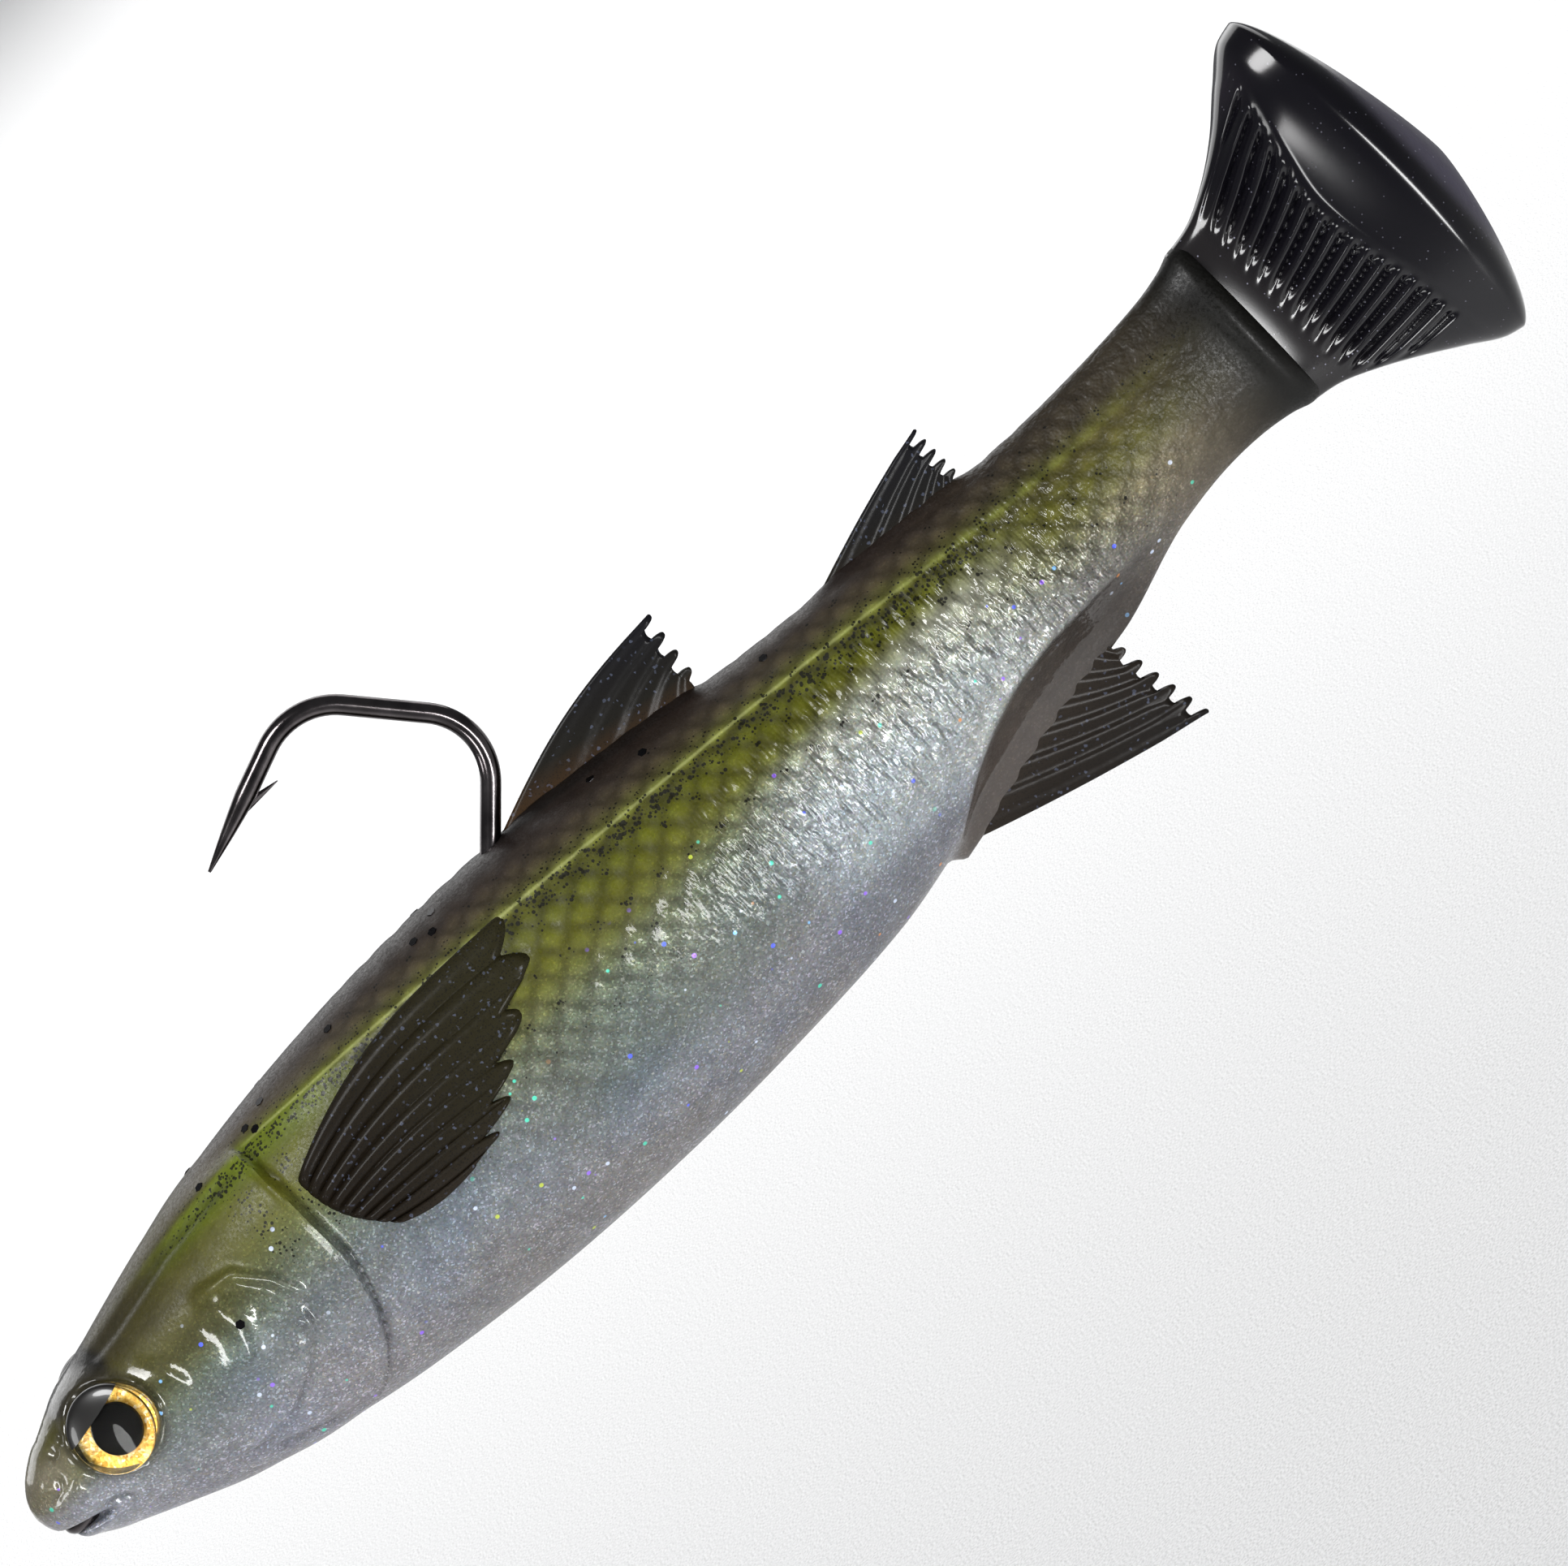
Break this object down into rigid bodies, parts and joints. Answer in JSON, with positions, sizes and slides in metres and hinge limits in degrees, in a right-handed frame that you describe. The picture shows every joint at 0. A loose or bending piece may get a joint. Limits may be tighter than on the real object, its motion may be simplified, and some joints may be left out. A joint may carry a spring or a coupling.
{
  "type": "soft wedge-tail swimbait",
  "caption": "Soft fish-shaped lure with a jig hook out of its back, free fin tips and a fluted wedge tail that kicks from side to side.",
  "frame": {"origin": "centre of the hook's line-tie eye, inside the mouth", "axes": "-X nose, +X tail, +Z back, -Y the fish's left side"},
  "size_m": [0.152, 0.023, 0.0504],
  "materials": {
    "glitter_plastic": "gloss",
    "black_plastic": "gloss",
    "fin_plastic": "gloss",
    "black_nickel": "polished",
    "cast_lead": "satin",
    "gold_foil": "gloss",
    "pupil_black": "gloss",
    "clear_epoxy": "polished"
  },
  "bodies": {
    "front": {"front_body": "glitter_plastic", "left_pectoral_fin": "fin_plastic", "right_pectoral_fin": "fin_plastic", "hook": "black_nickel", "ballast_weight": "cast_lead", "left_iris": "gold_foil", "right_iris": "gold_foil", "left_pupil": "pupil_black", "right_pupil": "pupil_black", "left_eye_lens": "clear_epoxy", "right_eye_lens": "clear_epoxy"},
    "stalk": {"tail_stalk": "glitter_plastic"},
    "tail": {"wedge_tail": "black_plastic"},
    "first_dorsal": {"first_dorsal_fin": "fin_plastic"},
    "second_dorsal": {"second_dorsal_fin": "fin_plastic"},
    "anal": {"anal_fin": "fin_plastic"}
  },
  "joints": [
    {"name": "stalk_flex", "type": "hinge", "parent": "front", "child": "stalk", "pos_m": [0.11022, 0, 0.0019], "axis": [0, 0, 1], "range_deg": [-18, 18], "stiffness_Nm_per_rad": 0.02},
    {"name": "tail_kick", "type": "hinge", "parent": "stalk", "child": "tail", "pos_m": [0.1298, 0, 0.0019], "axis": [0, 0, 1], "range_deg": [-40, 40], "stiffness_Nm_per_rad": 0.006},
    {"name": "first_dorsal_bend", "type": "hinge", "parent": "front", "child": "first_dorsal", "pos_m": [0.06898, 0, 0.01222], "axis": [0.9894, 0, -0.1453], "range_deg": [-25, 25], "stiffness_Nm_per_rad": 0.0003},
    {"name": "second_dorsal_bend", "type": "hinge", "parent": "front", "child": "second_dorsal", "pos_m": [0.0965, 0, 0.00866], "axis": [0.9945, 0, -0.105], "range_deg": [-25, 25], "stiffness_Nm_per_rad": 0.0003},
    {"name": "anal_bend", "type": "hinge", "parent": "front", "child": "anal", "pos_m": [0.09304, 0, -0.00906], "axis": [0.9814, 0, 0.1919], "range_deg": [-25, 25], "stiffness_Nm_per_rad": 0.0003}
  ]
}
